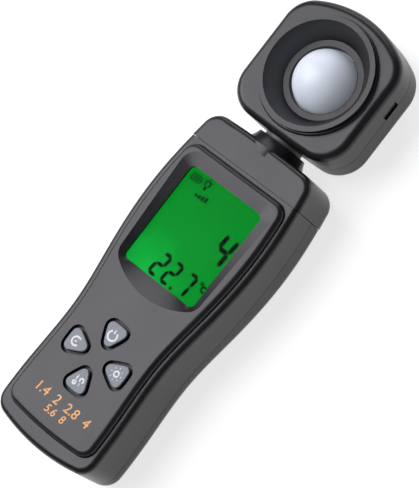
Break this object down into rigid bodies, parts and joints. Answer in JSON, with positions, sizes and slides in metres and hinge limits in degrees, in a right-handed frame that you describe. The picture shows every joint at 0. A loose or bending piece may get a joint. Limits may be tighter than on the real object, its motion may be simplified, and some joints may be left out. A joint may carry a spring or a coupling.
{
  "type": "handheld light meter",
  "caption": "Handheld light meter with a back-lit display, a cross of keys and a swivelling head that carries a milky dome over its sensor.",
  "frame": {"origin": "under the middle of the meter's length, on the plane its back lies on", "axes": "+Y along the meter from the foot of the handset to the head, +Z out of the front, +X to the user's right"},
  "size_m": [0.0554, 0.189, 0.0303],
  "materials": {
    "board_green": "green solder-masked glass-epoxy board",
    "cell_wrap": "printed cell sleeves",
    "clear_window": "clear polished acrylic",
    "component_black": "epoxy packages",
    "display_green": "green back-lit liquid-crystal glass",
    "dome_milk": "milky opal acrylic",
    "filter_green": "green colour-correction glass",
    "frame_white": "white moulded plastic",
    "key_grey": "light grey silicone keys",
    "label_silver": "bare silver label",
    "lead_grey": "grey jacketed lead",
    "light_guide": "milky light guide",
    "mat_black": "black silicone and plastic",
    "plated_steel": "nickel-plated steel",
    "screw_black": "black-zinc steel",
    "shell_black": "satin black ABS, fine spark texture",
    "silicone_pink": "layered conductive silicone",
    "spindle_black": "black glass-filled nylon",
    "washer_grey": "dark acetal"
  },
  "bodies": {
    "handset": {"front_casing": "shell_black", "rear_casing": "shell_black", "top_cap": "shell_black", "face_panel": "shell_black", "display_window": "clear_window", "display_glass": "display_green", "display_backlight": "light_guide", "contact_strip": "silicone_pink", "display_frame": "frame_white", "keypad_mat": "mat_black", "main_board": "board_green", "board_components": "component_black", "battery_cells": "cell_wrap", "cell_springs": "plated_steel", "contact_plates": "plated_steel", "casing_screws": "screw_black", "board_screws": "plated_steel", "retaining_clip": "plated_steel", "spring_washer": "plated_steel", "swivel_washer": "washer_grey", "main_lead": "lead_grey", "lead_plug": "frame_white", "rating_label": "label_silver"},
    "head": {"head_front_shell": "shell_black", "head_rear_shell": "shell_black", "bezel_ring": "shell_black", "dome_diffuser": "dome_milk", "sensor_holder": "mat_black", "colour_filter": "filter_green", "photodiode": "component_black", "sensor_board": "board_green", "sensor_screws": "plated_steel", "head_screws": "screw_black", "swivel_spindle": "spindle_black", "head_lead": "lead_grey"},
    "power_key": {"power_key": "key_grey"},
    "mode_key": {"mode_key": "key_grey"},
    "unit_key": {"unit_key": "key_grey"},
    "temperature_key": {"temperature_key": "key_grey"},
    "battery_door": {"battery_door": "shell_black"}
  },
  "joints": [
    {"name": "head_swivel", "type": "hinge", "parent": "handset", "child": "head", "pos_m": [0, 0.0413, 0.0154], "axis": [0, 1, 0], "range_deg": [-90, 180]},
    {"name": "power_key_press", "type": "slide", "parent": "handset", "child": "power_key", "axis": [0, 0, -1], "range_m": [0, 0.0008], "stiffness_N_per_m": 1200},
    {"name": "mode_key_press", "type": "slide", "parent": "handset", "child": "mode_key", "axis": [0, 0, -1], "range_m": [0, 0.0008], "stiffness_N_per_m": 1200},
    {"name": "unit_key_press", "type": "slide", "parent": "handset", "child": "unit_key", "axis": [0, 0, -1], "range_m": [0, 0.0008], "stiffness_N_per_m": 1200},
    {"name": "temperature_key_press", "type": "slide", "parent": "handset", "child": "temperature_key", "axis": [0, 0, -1], "range_m": [0, 0.0008], "stiffness_N_per_m": 1200},
    {"name": "door_slide", "type": "slide", "parent": "handset", "child": "battery_door", "axis": [0, -1, 0], "range_m": [0, 0.046]}
  ]
}
